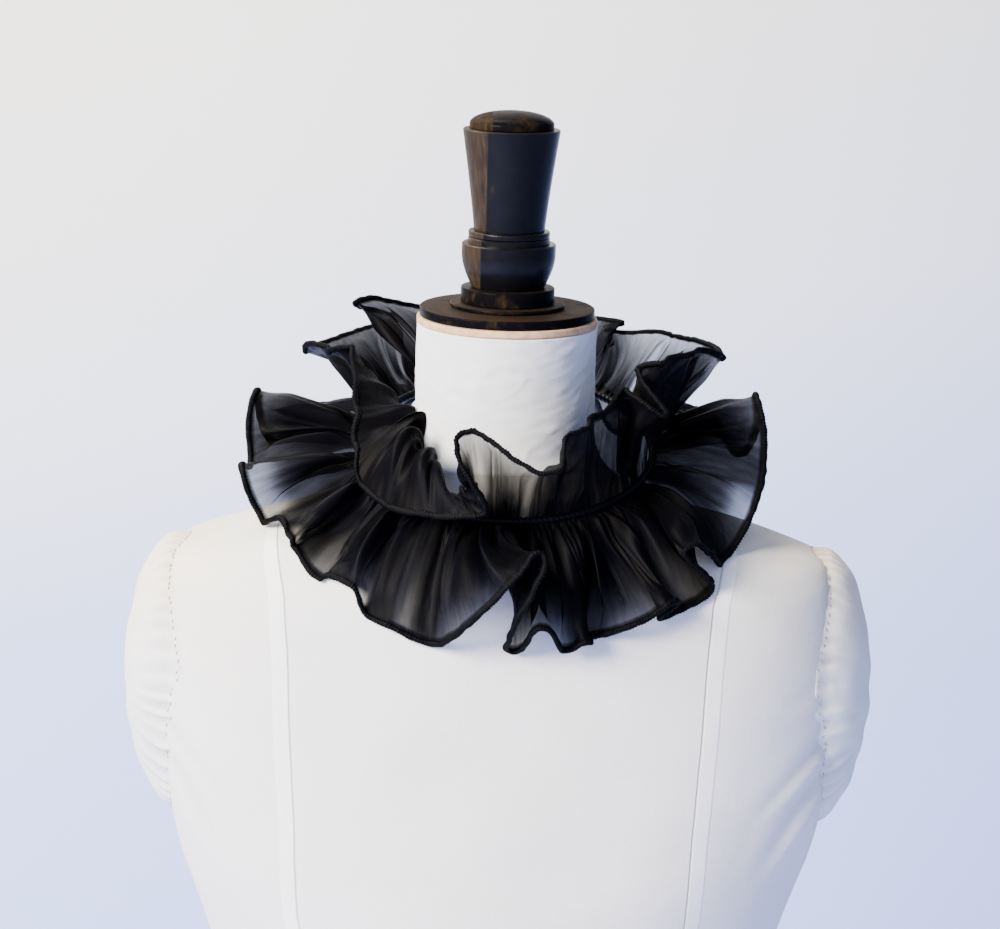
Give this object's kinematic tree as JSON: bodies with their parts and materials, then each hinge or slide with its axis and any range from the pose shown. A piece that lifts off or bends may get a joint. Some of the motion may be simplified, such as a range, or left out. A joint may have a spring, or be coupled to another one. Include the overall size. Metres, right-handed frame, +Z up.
{
  "type": "ruff collar on dress form",
  "caption": "Ruffled sheer collar, gathered along its middle, round the neck of a cloth-covered limbless dress form with a turned finial.",
  "frame": {"origin": "centre of the dress form's flat underside", "axes": "+Z up the neck, -Y the wearer's front, +X the wearer's left"},
  "size_m": [0.4606, 0.302, 0.8785],
  "materials": {
    "organza": "sheer black organza, a crisp open plain weave",
    "ribbon": "narrow black satin ribbon under the gathers",
    "clasp_metal": "black japanned wire hook and eye",
    "calico": "aged ivory calico, stretched and stitched",
    "tape": "tan paper or cotton tape",
    "ebonised_wood": "ebonised, varnished and worn",
    "board": "plain unvarnished board"
  },
  "bodies": {
    "root": {"upper_frill": "organza", "lower_frill": "organza", "gather_band": "ribbon", "closing_hook": "clasp_metal", "closing_eye": "clasp_metal", "form_torso": "calico", "shoulder_cap_right": "calico", "shoulder_cap_left": "calico", "base_board": "board", "neck_tape": "tape", "neck_disc": "ebonised_wood", "disc_step": "ebonised_wood", "finial_plinth": "ebonised_wood", "finial_cup": "ebonised_wood", "finial_ring": "ebonised_wood", "finial_knob": "ebonised_wood", "finial_dome": "ebonised_wood"}
  },
  "joints": []
}
